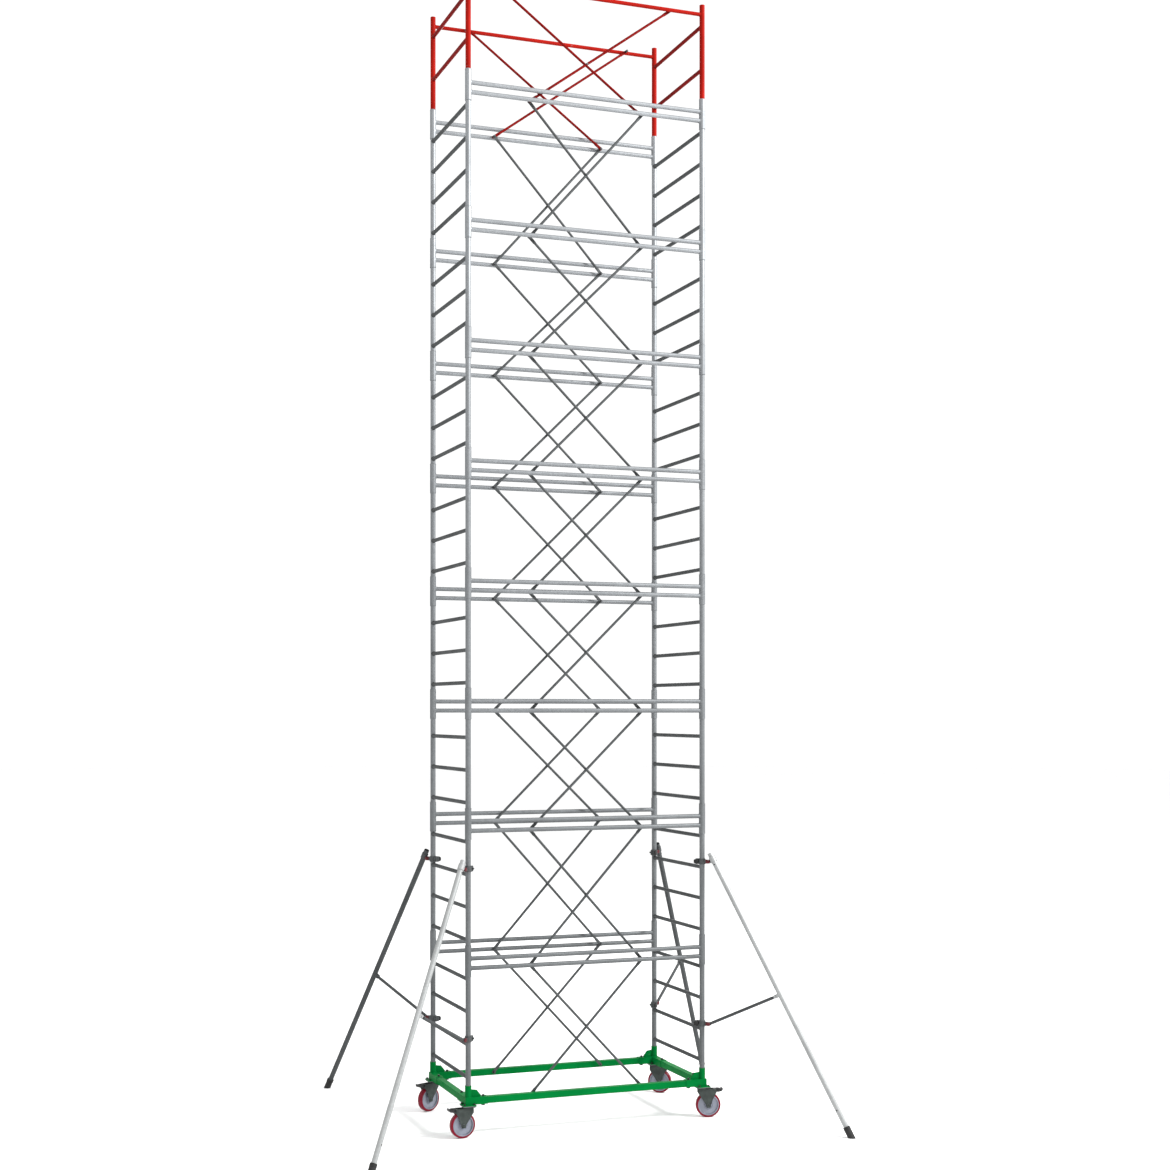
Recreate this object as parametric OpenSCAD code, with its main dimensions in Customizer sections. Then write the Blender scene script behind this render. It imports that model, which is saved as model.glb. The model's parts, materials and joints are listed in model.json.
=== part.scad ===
// Mobile tower scaffold: a tall galvanised tube tower on a castor base, with a red guard-rail at the top
// and four stabilisers. Millimetres, +Z up, X along the long sides, front side at -Y. The origin is on
// the ground under the middle of the tower.

/* [Tower] */
// Post centre to post centre along the long sides
tower_l = 1960; // [1500:10:2600]
// Post centre to post centre across the ladder ends
tower_w = 980; // [700:10:1400]
// Height of one tall bay, which holds four rungs
tall_bay_h = 1050; // [1000:10:1200]
// Height of one short bay, which holds three rungs
short_bay_h = 920; // [800:10:1000]
// Number of tall bays at the foot of the tower
tall_bays_low = 2; // [1:1:3]
// Number of short bays above them
short_bays = 5; // [1:1:6]
// Number of tall bays under the guard-rail
tall_bays_high = 1; // [1:1:2]

/* [Ladder ends] */
// Outer diameter of the posts
post_d = 42; // [34:1:48]
// Wall of the posts
post_wall = 2.5; // [1.5:0.5:4]
// Outer diameter of the rungs
rung_d = 30; // [25:1:34]
// Wall of the rungs
rung_wall = 2; // [1.5:0.5:3]
// Distance from one rung to the next in a bay
rung_pitch = 250; // [230:5:270]
// Lowest rung of a bay above the bay's bottom joint
rung_start = 160; // [140:5:180]

/* [Rail frames] */
// Wall of the sleeves that join the posts
sleeve_wall = 3.7; // [3:0.1:6]
// Radial clearance of a post in its sleeve
sleeve_clear = 0.3; // [0.2:0.1:1]
// Length of the sleeves
sleeve_h = 240; // [200:10:280]
// Outer diameter of the horizontal rails
rail_d = 34; // [28:1:38]
// Wall of the horizontal rails
rail_wall = 2.5; // [1.5:0.5:4]
// Centre of the upper rail above the middle of the sleeve
rail_up = 20; // [10:1:40]
// Centre distance of the two rails
rail_gap = 74; // [60:1:90]

/* [Cross braces] */
// Outer diameter of the diagonal tubes
brace_d = 20; // [16:1:25]
// Wall of the diagonal tubes
brace_wall = 2; // [1:0.5:3]
// Fixing points of the braces, as a share of the length from the middle of the side
brace_share = 0.24; // [0.18:0.01:0.3]
// Fixing points on the guard-rail's top rail, as the same share
guard_share = 0.36; // [0.3:0.01:0.4]
// Thickness of the flattened brace ends
tab_t = 6; // [4:1:8]
// Diameter of the studs that the brace ends hang on
stud_d = 10; // [8:1:12]
// Radial clearance of a brace end or spacer on its stud
stud_clear = 0.1; // [0.05:0.05:0.5]

/* [Guard-rail] */
// Height of the red posts above the top sleeve
guard_h = 755; // [600:5:1100]
// Depth of the upper guard rung below the post tops
guard_rung_1 = 165; // [120:5:250]
// Depth of the lower guard rung below the post tops
guard_rung_2 = 515; // [400:5:580]
// Depth of the long top rails below the post tops
guard_rail_drop = 75; // [60:5:110]

/* [Base] */
// Underside of the base beams above the ground
beam_z = 255; // [245:1:300]
// Side of the square base beams
beam_s = 50; // [40:1:60]
// Wall of the base beams and their sockets
beam_wall = 3; // [2:0.5:4]
// Clearance of a beam in its socket
beam_clear = 0.3; // [0.2:0.1:1]
// Length of the corner's socket for a long beam, from the post centre
long_socket = 150; // [120:5:200]
// Length of the corner's socket for a short beam, from the post centre
short_socket = 200; // [120:5:250]
// Height of the corner's post socket above the beams
post_socket_h = 90; // [60:5:140]

/* [Castors] */
// Wheel diameter
wheel_d = 200; // [150:5:200]
// Tyre width
tyre_w = 46; // [36:1:50]
// Thickness of the tyre's tread ring
tyre_t = 16; // [10:1:25]
// Distance of the wheel axle behind the swivel axis
trail = 48; // [35:1:60]
// Axle bolt diameter
axle_d = 12; // [10:1:16]
// Swivel angles of the castors: front left, front right, rear left, rear right
swivel = [185, 345, 205, 325];

/* [Stabilisers] */
// Directions of the stabilisers in plan, from the long sides: front left, front right, rear left, rear right
stab_angle = [41, 53, 61, 47];
// Lean of the long tube from the vertical
stab_lean = 30; // [24:1:32]
// Outer diameter of the long tube
stab_d = 42; // [34:1:48]
// Gap between a stabiliser's clamp and the rung below it
clamp_gap = 9; // [5:1:20]
// Share of the long tube at which the strut meets it
strut_share = 0.5; // [0.4:0.05:0.6]
// Outer diameter of the strut
strut_d = 25; // [20:1:30]
// Diameter of the pivot pins
pin_d = 10; // [8:1:12]
// Radial clearance of the pivot pins
pin_clear = 0.05; // [0.03:0.01:0.1]
// Radial clearance at the strut's outer pin, which is the loose end of the linkage
loose_clear = 2; // [1.5:0.5:3]

/* [Hidden] */
$fn = 48;
CORNERS = ["fl", "fr", "rl", "rr"];
SIDE_X = [-1, 1, -1, 1];
SIDE_Y = [-1, -1, 1, 1];
STATIC_NODES = ["ladder_posts_left", "ladder_posts_right", "ladder_rungs_left", "ladder_rungs_right",
    "joint_sleeves", "rails_front", "rails_rear", "cross_braces_front", "cross_braces_rear",
    "brace_studs", "brace_nuts", "brace_centre_bolts", "guard_posts", "guard_rungs", "guard_top_rails",
    "guard_braces", "base_beams_long", "base_beams_short", "base_bolts", "castor_top_plates"];
CORNER_NODES = ["base_corner", "castor_fork", "wheel_hub", "wheel_tyre", "brake_pedal",
    "stabiliser_clamp", "stabiliser_tube", "stabiliser_foot", "stabiliser_strut", "strut_clamp"];

hx = tower_l / 2;
hy = tower_w / 2;
sleeve_d = post_d + 2 * (sleeve_clear + sleeve_wall);
galv = "#b9bec1";
dark_steel = "#4a4d50";
red_paint = "#c22d22";
green_paint = "#00803a";
zinc = "#a8acb0";
tread_red = "#a8152c";
hub_grey = "#7f8c96";
black = "#1a1a1c";

// Bays from the bottom: height and rung count of each
bay_count = tall_bays_low + short_bays + tall_bays_high;
function is_tall(b) = b < tall_bays_low || b >= tall_bays_low + short_bays;
function bay_h(b) = is_tall(b) ? tall_bay_h : short_bay_h;
function rungs_in(b) = is_tall(b) ? 4 : 3;
// Middle of the beams, which stands in for the lowest joint
beam_mid = beam_z + beam_s / 2;
post_foot_z = beam_z + beam_s - 10;
// Middle height of joint k: joint 0 is the post foot and joint bay_count the top sleeve
function joint_z(k) = k == 0 ? post_foot_z : joint_z(k - 1) + bay_h(k - 1);
function rung_z(b, i) = joint_z(b) + rung_start + i * rung_pitch;
top_joint_z = joint_z(bay_count);
guard_top_z = top_joint_z + sleeve_h / 2 + guard_h;
// The gap that stacked tube ends keep
end_gap = 0.3;

// Heights of the lines that the brace ends hang on
function brace_z(k) = k == 0 ? beam_mid : joint_z(k) + rail_up - rail_gap;
guard_rail_z = guard_top_z - guard_rail_drop;
brace_x = brace_share * tower_l;
guard_x = guard_share * tower_l;
// Two layers of braces, measured inwards from the plane of the posts
layer_a = max(rail_d / 2, beam_s / 2) + tab_t / 2;
layer_b = layer_a + brace_d + 1;
hub_d = 2 * stud_d;
tab_w = brace_d + 4;
tab_len = 48;
nut_h = 10;

module tube(d, wall, h) {
    difference() {
        cylinder(d = d, h = h);
        translate([0, 0, -1]) cylinder(d = d - 2 * wall, h = h + 2);
    }
}

// Children at each of the four posts
module at_posts() {
    for (sx = [-1, 1], sy = [-1, 1]) translate([sx * hx, sy * hy, 0]) children();
}

// A tube along X between two planes, and one along Y
module tube_x(d, wall, from, to) {
    translate([from, 0, 0]) rotate([0, 90, 0]) tube(d, wall, to - from);
}

module tube_y(d, wall, half) {
    translate([0, -half, 0]) rotate([-90, 0, 0]) tube(d, wall, 2 * half);
}

// ---- Ladder ends ----

module ladder_posts(sx) {
    color(galv) for (sy = [-1, 1], b = [0 : bay_count - 1])
        translate([sx * hx, sy * hy, joint_z(b)]) tube(post_d, post_wall, bay_h(b) - end_gap);
}

module ladder_rung(sx, z) {
    difference() {
        translate([sx * hx, 0, z]) tube_y(rung_d, rung_wall, hy);
        for (sy = [-1, 1]) translate([sx * hx, sy * hy, z - rung_d]) cylinder(d = post_d, h = 2 * rung_d);
    }
}

module ladder_rungs(sx) {
    color(dark_steel) for (b = [0 : bay_count - 1], i = [0 : rungs_in(b) - 1])
        ladder_rung(sx, rung_z(b, i));
}

// ---- Rail frames ----

module joint_sleeves() {
    color(galv) for (k = [1 : bay_count]) translate([0, 0, joint_z(k) - sleeve_h / 2])
        at_posts() tube(sleeve_d, sleeve_wall, sleeve_h);
}

module coped_rail(y, z, d, wall, end_d) {
    difference() {
        translate([0, y, z]) tube_x(d, wall, -hx, hx);
        for (sx = [-1, 1]) translate([sx * hx, y, z - d]) cylinder(d = end_d, h = 2 * d);
    }
}

module rails(sy) {
    color(galv) for (k = [1 : bay_count], dz = [rail_up, rail_up - rail_gap])
        coped_rail(sy * hy, joint_z(k) + dz, rail_d, rail_wall, sleeve_d);
}

// ---- Cross braces ----

// One diagonal: from and to are [x, z], lying in the XZ plane, with a holed flat tab at each end and
// a hole for the crossing bolt at the share cross of its length
module brace(from, to, cross) {
    run = to - from;
    len = norm(run);
    translate([from[0], 0, from[1]]) rotate([0, atan2(run[0], run[1]), 0]) difference() {
        union() {
            translate([0, 0, tab_len]) tube(brace_d, brace_wall, len - 2 * tab_len);
            for (z = [0, len]) translate([0, 0, z]) rotate([90, 0, 0])
                cylinder(d = tab_w, h = tab_t, center = true);
            translate([-tab_w / 2, -tab_t / 2, 0]) cube([tab_w, tab_t, tab_len + 15]);
            translate([-tab_w / 2, -tab_t / 2, len - tab_len - 15]) cube([tab_w, tab_t, tab_len + 15]);
        }
        for (z = [0, cross * len, len]) translate([0, 0, z]) rotate([90, 0, 0])
            cylinder(d = stud_d + 2 * stud_clear, h = 2 * brace_d, center = true);
    }
}

// A crossed pair on side sy, between two heights and two half widths
module brace_pair(sy, z_low, x_low, z_high, x_high) {
    cross = x_low / (x_low + x_high);
    translate([0, sy * (hy - layer_a), 0]) brace([-x_low, z_low], [x_high, z_high], cross);
    translate([0, sy * (hy - layer_b), 0]) brace([x_low, z_low], [-x_high, z_high], cross);
}

module cross_braces(sy) {
    color(dark_steel) for (b = [0 : bay_count - 1])
        brace_pair(sy, brace_z(b), brace_x, brace_z(b + 1), brace_x);
}

module guard_braces() {
    color(red_paint) for (sy = [-1, 1])
        brace_pair(sy, brace_z(bay_count), brace_x, guard_rail_z, guard_x);
}

// A turned stud on side sy: a shoulder on the rail, a shank through the tabs. reach is the shank's end.
module stud(sy, x, z, seat_r, reach) {
    translate([x, sy * hy, z]) rotate([sy * 90, 0, 0]) difference() {
        union() {
            cylinder(d = hub_d, h = layer_a - tab_t / 2);
            cylinder(d = stud_d, h = reach);
        }
        if (seat_r > 0) translate([-hub_d, 0, 0]) rotate([0, 90, 0]) cylinder(r = seat_r, h = 2 * hub_d);
        else translate([-hub_d, -hub_d, -1]) cube([2 * hub_d, 2 * hub_d, beam_s / 2 + 1]);
    }
}

shank_full = layer_b + tab_t / 2 + nut_h + 3;

// Where the studs stand: side, x, height and the radius of the tube that carries them (0 on a flat beam)
STUDS = [for (sy = [-1, 1], sx = [-1, 1]) each concat(
    [[sy, sx * brace_x, beam_mid, 0]],
    [for (k = [1 : bay_count]) [sy, sx * brace_x, brace_z(k), rail_d / 2]],
    [[sy, sx * guard_x, guard_rail_z, rung_d / 2]])];

module brace_studs() {
    color(zinc) for (s = STUDS) stud(s[0], s[1], s[2], s[3], shank_full);
}

// The spacer between the two layers and the nut outside them, bored to run over the stud
module stud_ring(sy, x, z, from, to) {
    translate([x, sy * (hy - from), z]) rotate([sy * 90, 0, 0])
        tube(hub_d, hub_d / 2 - stud_d / 2 - stud_clear, to - from);
}

module brace_nuts() {
    color(dark_steel) for (s = STUDS) {
        stud_ring(s[0], s[1], s[2], layer_a + tab_t / 2, layer_b - tab_t / 2);
        stud_ring(s[0], s[1], s[2], layer_b + tab_t / 2, layer_b + tab_t / 2 + nut_h);
    }
}

// The bolt through the crossing of a pair
module centre_bolt(sy, z) {
    grip_from = layer_a - brace_d / 2 + 0.5;
    grip_to = layer_b + brace_d / 2 - 0.5;
    translate([0, sy * hy, z]) rotate([sy * 90, 0, 0]) {
        translate([0, 0, grip_from - nut_h]) cylinder(d = stud_d, h = grip_to - grip_from + 2 * nut_h);
        translate([0, 0, grip_from - nut_h]) cylinder(d = 1.7 * stud_d, h = nut_h - 1, $fn = 6);
        translate([0, 0, grip_to + 1]) cylinder(d = 1.7 * stud_d, h = nut_h - 3, $fn = 6);
    }
}

module brace_centre_bolts() {
    color(zinc) for (sy = [-1, 1]) {
        for (b = [0 : bay_count - 1]) centre_bolt(sy, (brace_z(b) + brace_z(b + 1)) / 2);
        centre_bolt(sy, brace_z(bay_count)
            + (guard_rail_z - brace_z(bay_count)) * brace_x / (brace_x + guard_x));
    }
}

// ---- Guard-rail ----

module guard_posts() {
    color(red_paint) translate([0, 0, top_joint_z])
        at_posts() tube(post_d, post_wall, guard_top_z - top_joint_z);
}

module guard_rungs() {
    color(red_paint) for (sx = [-1, 1], drop = [guard_rung_1, guard_rung_2])
        ladder_rung(sx, guard_top_z - drop);
}

module guard_top_rails() {
    color(red_paint) for (sy = [-1, 1])
        coped_rail(sy * hy, guard_rail_z, rung_d, rung_wall, post_d);
}

// ---- Base ----

socket_s = beam_s + 2 * (beam_wall + beam_clear);
socket_z = beam_z - beam_wall - beam_clear;
plate_t = 6;
plate_s = 104;
bolt_pcd = 110;
beam_start = sleeve_d / 2 + 6;
beam_bolt_in = 30;
beam_bolt_d = 12;
gusset_w = long_socket - beam_bolt_in - 20;

// Beam bolts seen from a post, with the sockets pointing to -X and -Y
BEAM_BOLTS = [[-long_socket + beam_bolt_in, 0], [0, -short_socket + beam_bolt_in]];

// One welded corner, drawn for the rear right post with its sockets pointing to -X and -Y
module base_corner(i) {
    socket_top = beam_z + beam_s + post_socket_h;
    color(green_paint) translate([SIDE_X[i] * hx, SIDE_Y[i] * hy, 0])
        scale([SIDE_X[i], SIDE_Y[i], 1]) difference() {
            union() {
                translate([0, 0, socket_z]) cylinder(d = sleeve_d, h = socket_top - socket_z);
                translate([-long_socket, -socket_s / 2, socket_z]) cube([long_socket, socket_s, socket_s]);
                translate([-socket_s / 2, -short_socket, socket_z]) cube([socket_s, short_socket, socket_s]);
                translate([-socket_s / 2, -socket_s / 2, socket_z]) cube([socket_s, socket_s, socket_s]);
                translate([-plate_s / 2, -plate_s / 2, socket_z - plate_t]) cube([plate_s, plate_s, plate_t]);
                corner_gusset(socket_top);
            }
            // Bore for the post, down to its seat
            translate([0, 0, post_foot_z]) cylinder(d = post_d + 2 * sleeve_clear, h = socket_top);
            // Hollows for the beams
            translate([-long_socket - 1, -beam_s / 2 - beam_clear, socket_z + beam_wall])
                cube([long_socket + 1 - beam_start, beam_s + 2 * beam_clear, beam_s + 2 * beam_clear]);
            translate([-beam_s / 2 - beam_clear, -short_socket - 1, socket_z + beam_wall])
                cube([beam_s + 2 * beam_clear, short_socket + 1 - beam_start, beam_s + 2 * beam_clear]);
            for (p = BEAM_BOLTS)
                translate([p[0], p[1], socket_z - 1]) cylinder(d = beam_bolt_d + 0.6, h = socket_s + 2);
            plate_holes() translate([0, 0, socket_z - plate_t - 1]) cylinder(d = 11, h = plate_t + 2);
        }
}

// The upright plate that ties the post socket to the long beam's socket
module corner_gusset(top) {
    z0 = socket_z + socket_s;
    translate([0, 3, 0]) rotate([90, 0, 0]) linear_extrude(6) polygon([
        [-sleeve_d / 2 + 4, z0 - 2], [-gusset_w, z0 - 2], [-gusset_w, z0 + 10],
        [-gusset_w + 32, top - 36], [-sleeve_d / 2 + 4, top - 30]]);
}

module plate_holes() {
    for (a = [45 : 90 : 315]) rotate([0, 0, a]) translate([bolt_pcd / 2, 0, 0]) children();
}

// A square beam along X with its two bolt holes
module beam(len, hole_in) {
    inner = beam_s - 2 * beam_wall;
    translate([0, 0, beam_mid]) difference() {
        cube([len, beam_s, beam_s], center = true);
        cube([len + 2, inner, inner], center = true);
        for (s = [-1, 1]) translate([s * (len / 2 - hole_in), 0, 0])
            cylinder(d = beam_bolt_d + 0.6, h = beam_s + 2, center = true);
    }
}

module base_beams_long() {
    len = 2 * (hx - beam_start);
    color(green_paint) for (sy = [-1, 1]) translate([0, sy * hy, 0])
        beam(len - 2, long_socket - beam_bolt_in - 1 - beam_start);
}

module base_beams_short() {
    len = 2 * (hy - beam_start);
    color(green_paint) for (sx = [-1, 1]) translate([sx * hx, 0, 0]) rotate([0, 0, 90])
        beam(len - 2, short_socket - beam_bolt_in - 1 - beam_start);
}

// Bolts that hold the beams in their sockets, and those that hold the castors' top plates
module base_bolts() {
    head_h = 12;
    color(black) for (sx = [-1, 1], sy = [-1, 1]) translate([sx * hx, sy * hy, 0]) scale([sx, sy, 1]) {
        for (p = BEAM_BOLTS) translate([p[0], p[1], 0]) {
            translate([0, 0, socket_z - head_h]) cylinder(d = beam_bolt_d, h = head_h + socket_s + 14);
            translate([0, 0, socket_z - head_h]) cylinder(d = 28, h = head_h);
            translate([0, 0, socket_z + socket_s]) cylinder(d = 21, h = 10, $fn = 6);
        }
        plate_holes() {
            translate([0, 0, castor_top - plate_t - 7]) cylinder(d = 10, h = 7 + 2 * plate_t + 11);
            translate([0, 0, castor_top - plate_t - 7]) cylinder(d = 18, h = 7, $fn = 6);
            translate([0, 0, socket_z]) cylinder(d = 18, h = 8, $fn = 6);
        }
    }
}

// ---- Castors ----

castor_top = socket_z - plate_t;
race_h = 12;
crown_t = 5;
crown_z = castor_top - plate_t - race_h;
fork_in = tyre_w / 2 + 5;
fork_t = 4;
hub_w = 2 * fork_in - 1;
axle_z = wheel_d / 2;
pedal_x = 100;
pedal_z = crown_z - 12;
// From the pedal's pin to the tread, and the turn that brings the brake's cam onto it
tread_gap = norm([pedal_x - trail, pedal_z - axle_z]) - wheel_d / 2;
pedal_turn = 22;
pedal_pin_d = 8;
cam_t = 7;
kingpin_d = 16;

// Fixed top plate with the kingpin, bolted under each corner
module castor_top_plates() {
    color(zinc) for (sx = [-1, 1], sy = [-1, 1]) translate([sx * hx, sy * hy, 0]) {
        difference() {
            translate([-plate_s / 2, -plate_s / 2, castor_top - plate_t]) cube([plate_s, plate_s, plate_t]);
            plate_holes() translate([0, 0, castor_top - plate_t - 1]) cylinder(d = 11, h = plate_t + 2);
        }
        translate([0, 0, crown_z - crown_t - 3]) cylinder(d = kingpin_d, h = race_h + crown_t + 3);
        translate([0, 0, crown_z - crown_t - 6]) cylinder(d = 28, h = 5.7);
    }
}

// Turns its children to castor i's swivel angle about the post axis
module at_castor(i) {
    translate([SIDE_X[i] * hx, SIDE_Y[i] * hy, 0]) rotate([0, 0, swivel[i]]) children();
}

module fork_plate_outline() {
    polygon([[-34, crown_z], [pedal_x + 12, crown_z], [pedal_x + 14, pedal_z - 12], [trail + 34, axle_z + 44],
        [trail + 22, axle_z + 6], [trail + 16, axle_z - 20], [trail - 16, axle_z - 20],
        [trail - 22, axle_z + 6], [-34, crown_z - 34]]);
}

module castor_fork(i) {
    color(zinc) at_castor(i) {
        difference() {
            union() {
                translate([0, 0, crown_z]) cylinder(d = 84, h = race_h - 0.3);
                translate([-34, -fork_in - fork_t, crown_z - crown_t])
                    cube([90, 2 * (fork_in + fork_t), crown_t]);
                for (s = [-1, 1]) translate([0, s * (fork_in + fork_t / 2) + fork_t / 2, 0])
                    rotate([90, 0, 0]) linear_extrude(fork_t) fork_plate_outline();
            }
            translate([0, 0, crown_z - crown_t - 1]) cylinder(d = kingpin_d + 0.1, h = race_h + crown_t + 2);
            for (p = [[trail, axle_z, axle_d], [pedal_x, pedal_z, pedal_pin_d]])
                translate([p[0], 0, p[1]]) rotate([90, 0, 0])
                    cylinder(d = p[2] + 0.1, h = 4 * fork_in, center = true);
        }
        castor_bolt(trail, axle_z, axle_d);
        castor_bolt(pedal_x, pedal_z, pedal_pin_d);
    }
}

// A bolt across the fork with its head and nut just clear of the plates
module castor_bolt(x, z, d) {
    out = fork_in + fork_t + 0.2;
    translate([x, 0, z]) rotate([90, 0, 0]) {
        cylinder(d = d, h = 2 * (out + d / 2), center = true);
        for (s = [-1, 1]) translate([0, 0, s * (out + d * 0.3)])
            cylinder(d = 1.75 * d, h = 0.6 * d, center = true, $fn = 6);
    }
}

module wheel_hub(i) {
    rim_r = wheel_d / 2 - tyre_t;
    color(hub_grey) at_castor(i) translate([trail, 0, axle_z]) rotate([90, 0, 0])
        rotate_extrude($fn = 72) polygon([[axle_d / 2 + 0.05, -hub_w / 2], [22, -hub_w / 2],
            [26, -tyre_w / 2 + 5], [30, -11], [rim_r - 12, -13], [rim_r - 8, -tyre_w / 2], [rim_r, -tyre_w / 2],
            [rim_r, tyre_w / 2], [rim_r - 8, tyre_w / 2], [rim_r - 12, 13], [30, 11], [26, tyre_w / 2 - 5],
            [22, hub_w / 2], [axle_d / 2 + 0.05, hub_w / 2]]);
}

module wheel_tyre(i) {
    rim_r = wheel_d / 2 - tyre_t;
    crown = 5;
    color(tread_red) at_castor(i) translate([trail, 0, axle_z]) rotate([90, 0, 0])
        rotate_extrude($fn = 72) polygon([[rim_r, -tyre_w / 2], [wheel_d / 2 - crown, -tyre_w / 2],
            [wheel_d / 2 - 1, -tyre_w / 2 + crown], [wheel_d / 2, -tyre_w / 2 + 2 * crown],
            [wheel_d / 2, tyre_w / 2 - 2 * crown], [wheel_d / 2 - 1, tyre_w / 2 - crown],
            [wheel_d / 2 - crown, tyre_w / 2], [rim_r, tyre_w / 2]]);
}

// Foot pedal on the pin behind the swivel head, with a cam that bears on the tread when it is down
module brake_pedal(i) {
    to_axle = atan2(pedal_z - axle_z, pedal_x - trail) + 180;
    color(black) at_castor(i) translate([pedal_x, 0, pedal_z]) rotate([90, 0, 0]) difference() {
        union() {
            cylinder(d = 20, h = 2 * fork_in - 2, center = true);
            linear_extrude(2 * fork_in - 8, center = true)
                polygon([[-6, -9], [28, -13], [54, -8], [64, 2], [66, 15], [60, 18], [44, 11], [0, 9]]);
            rotate([0, 0, to_axle + pedal_turn]) translate([0, -cam_t / 2, -tyre_w / 2 + 4])
                cube([tread_gap - 1, cam_t, tyre_w - 8]);
        }
        cylinder(d = pedal_pin_d + 0.1, h = 3 * fork_in, center = true);
    }
}

// ---- Stabilisers ----

ring_wall = 6;
ring_h = 44;
ring_r = post_d / 2 + sleeve_clear + ring_wall;
// Where the pinch bolt stands behind the ring, and the end of the lug that holds it
pinch_r = ring_r + 14;
lug_r = pinch_r + 11;
pivot_r = ring_r + 36;
ear_t = 6;
eye_t = 10;
eye_w = 30;
// Heights of the two clamps, each a little above a rung
clamp_rise = rung_d / 2 + clamp_gap + ring_h / 2;
stab_top_z = rung_z(1, 2) + clamp_rise;
stab_low_z = rung_z(0, 1) + clamp_rise;
pinch_d = 10;
// Perpendicular distance from a pivot to the long tube's axis
top_offset = stab_d / 2 + 20;
mid_offset = stab_d / 2 + 22;
foot_lift = 18;
tube_r0 = pivot_r + top_offset * cos(stab_lean);
tube_z0 = stab_top_z + top_offset * sin(stab_lean);
tube_len = (tube_z0 - foot_lift) / cos(stab_lean);
tube_head = 55;
strut_at = strut_share * tube_len;
strut_r = tube_r0 + strut_at * sin(stab_lean) - mid_offset * cos(stab_lean);
strut_z = tube_z0 - strut_at * cos(stab_lean) - mid_offset * sin(stab_lean);
strut_run = [strut_r - pivot_r, strut_z - stab_low_z];
strut_len = norm(strut_run);
strut_rise = atan2(strut_run[1], strut_run[0]);

function stab_turn(i) = SIDE_X[i] > 0 ? SIDE_Y[i] * stab_angle[i] : 180 - SIDE_Y[i] * stab_angle[i];

// Children drawn with the post on the Z axis and the stabiliser pointing to +X
module at_stabiliser(i) {
    translate([SIDE_X[i] * hx, SIDE_Y[i] * hy, 0]) rotate([0, 0, stab_turn(i)]) children();
}

// Children drawn along +Z, moved to the long tube's axis with +Z down the tube
module on_tube() {
    translate([tube_r0, 0, tube_z0]) rotate([0, 180 - stab_lean, 0]) children();
}

module pivot_hole(d, h) {
    rotate([90, 0, 0]) cylinder(d = d, h = h, center = true);
}

// A round clamp on the post with two ears for a pivot and a pinch bolt opposite
module post_clamp(z) {
    gap = eye_t + 0.6;
    translate([0, 0, z]) {
        difference() {
            union() {
                cylinder(r = ring_r, h = ring_h, center = true);
                for (s = [-1, 1]) translate([0, s * (gap + ear_t) / 2, 0]) {
                    translate([pivot_r / 2, 0, 0]) cube([pivot_r, ear_t, eye_w], center = true);
                    translate([pivot_r, 0, 0]) pivot_hole(eye_w, ear_t);
                }
                translate([-lug_r, -14, -ring_h / 2]) cube([lug_r, 28, ring_h]);
            }
            cylinder(d = post_d + 2 * sleeve_clear, h = ring_h + 2, center = true);
            translate([-lug_r - 1, -2, -ring_h]) cube([lug_r, 4, 2 * ring_h]);
            translate([pivot_r, 0, 0]) pivot_hole(pin_d + 2 * pin_clear, 4 * eye_w);
            translate([-pinch_r, 0, 0]) pivot_hole(pinch_d + 0.4, 4 * eye_w);
        }
        translate([pivot_r, 0, 0]) pivot_pin(gap / 2 + ear_t, pin_d);
        translate([-pinch_r, 0, 0]) clamp_bolt();
    }
}

// A pin across a pair of ears, with a head at each end just clear of them
module pivot_pin(half, d) {
    rotate([90, 0, 0]) {
        cylinder(d = d, h = 2 * half + 10, center = true);
        for (s = [-1, 1]) translate([0, 0, s * (half + 3.2)]) cylinder(d = 1.6 * d, h = 6, center = true);
    }
}

// The pinch bolt, with a wing-shaped knob on its outer end
module clamp_bolt() {
    rotate([90, 0, 0]) {
        cylinder(d = pinch_d, h = 52, center = true);
        translate([0, 0, -22]) cylinder(d = 1.7 * pinch_d, h = 7, center = true, $fn = 6);
        translate([0, 0, 24]) cylinder(d = 26, h = 18, center = true);
    }
}

module stabiliser_clamp(i) {
    color(dark_steel) at_stabiliser(i) post_clamp(stab_top_z);
}

module strut_clamp(i) {
    color(dark_steel) at_stabiliser(i) post_clamp(stab_low_z);
}

// The long tube with the eye at its head and the pair of ears that takes the strut
module stabiliser_tube(i) {
    strut_gap = eye_t + 1;
    color(galv) at_stabiliser(i) {
        difference() {
            union() {
                on_tube() translate([0, 0, -tube_head]) cylinder(d = stab_d, h = tube_len + tube_head);
                on_tube() tube_collar();
                on_tube() translate([top_offset / 2, 0, 0]) cube([top_offset, eye_t, eye_w], center = true);
                on_tube() translate([top_offset, 0, 0]) pivot_hole(eye_w, eye_t);
                for (s = [-1, 1]) on_tube() translate([0, s * (strut_gap + ear_t) / 2, strut_at]) {
                    translate([mid_offset / 2, 0, 0]) cube([mid_offset, ear_t, eye_w], center = true);
                    translate([mid_offset, 0, 0]) pivot_hole(eye_w, ear_t);
                }
            }
            on_tube() translate([0, 0, -tube_head - 1])
                cylinder(d = stab_d - 2 * post_wall, h = tube_len + tube_head + 2);
            on_tube() translate([top_offset, 0, 0]) pivot_hole(pin_d + 2 * pin_clear, 4 * eye_w);
            on_tube() translate([mid_offset, 0, strut_at]) pivot_hole(pin_d + 2 * pin_clear, 4 * eye_w);
        }
        on_tube() translate([mid_offset, 0, strut_at]) pivot_pin(strut_gap / 2 + ear_t, pin_d);
    }
}

module tube_collar() {
    translate([0, 0, -ring_h / 2]) cylinder(d = stab_d + 10, h = ring_h);
}

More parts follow.
